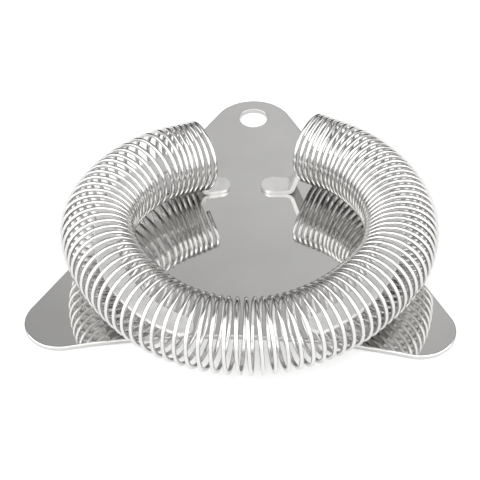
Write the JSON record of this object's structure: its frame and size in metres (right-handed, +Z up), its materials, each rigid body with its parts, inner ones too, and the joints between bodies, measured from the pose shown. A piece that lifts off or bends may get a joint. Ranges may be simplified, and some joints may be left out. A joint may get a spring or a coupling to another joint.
{
  "type": "hawthorne strainer",
  "caption": "Cocktail strainer: a flat rounded-triangle plate with a hanging hole, and a long coil spring held in an open ring on bent strips welded to the plate.",
  "frame": {"origin": "on the plate's underside, in the middle of the spring's ring", "axes": "+Z up, from the plate towards the spring; +Y towards the handle with the hanging hole; -Y towards the pouring edge; +X to the right"},
  "size_m": [0.1, 0.1069, 0.0225],
  "materials": {
    "plate_steel": "satin polished",
    "strip_steel": "satin polished",
    "wire_steel": "bright drawn"
  },
  "bodies": {
    "plate": {"plate": "plate_steel", "left_retainer_strip": "strip_steel", "right_retainer_strip": "strip_steel"},
    "spring": {"coil_spring": "wire_steel"}
  },
  "joints": [
    {"name": "gate_slide", "type": "slide", "parent": "plate", "child": "spring", "axis": [0, 1, 0], "range_m": [0, 0.005], "stiffness_N_per_m": 600, "deforming": ["coil_spring"]}
  ]
}
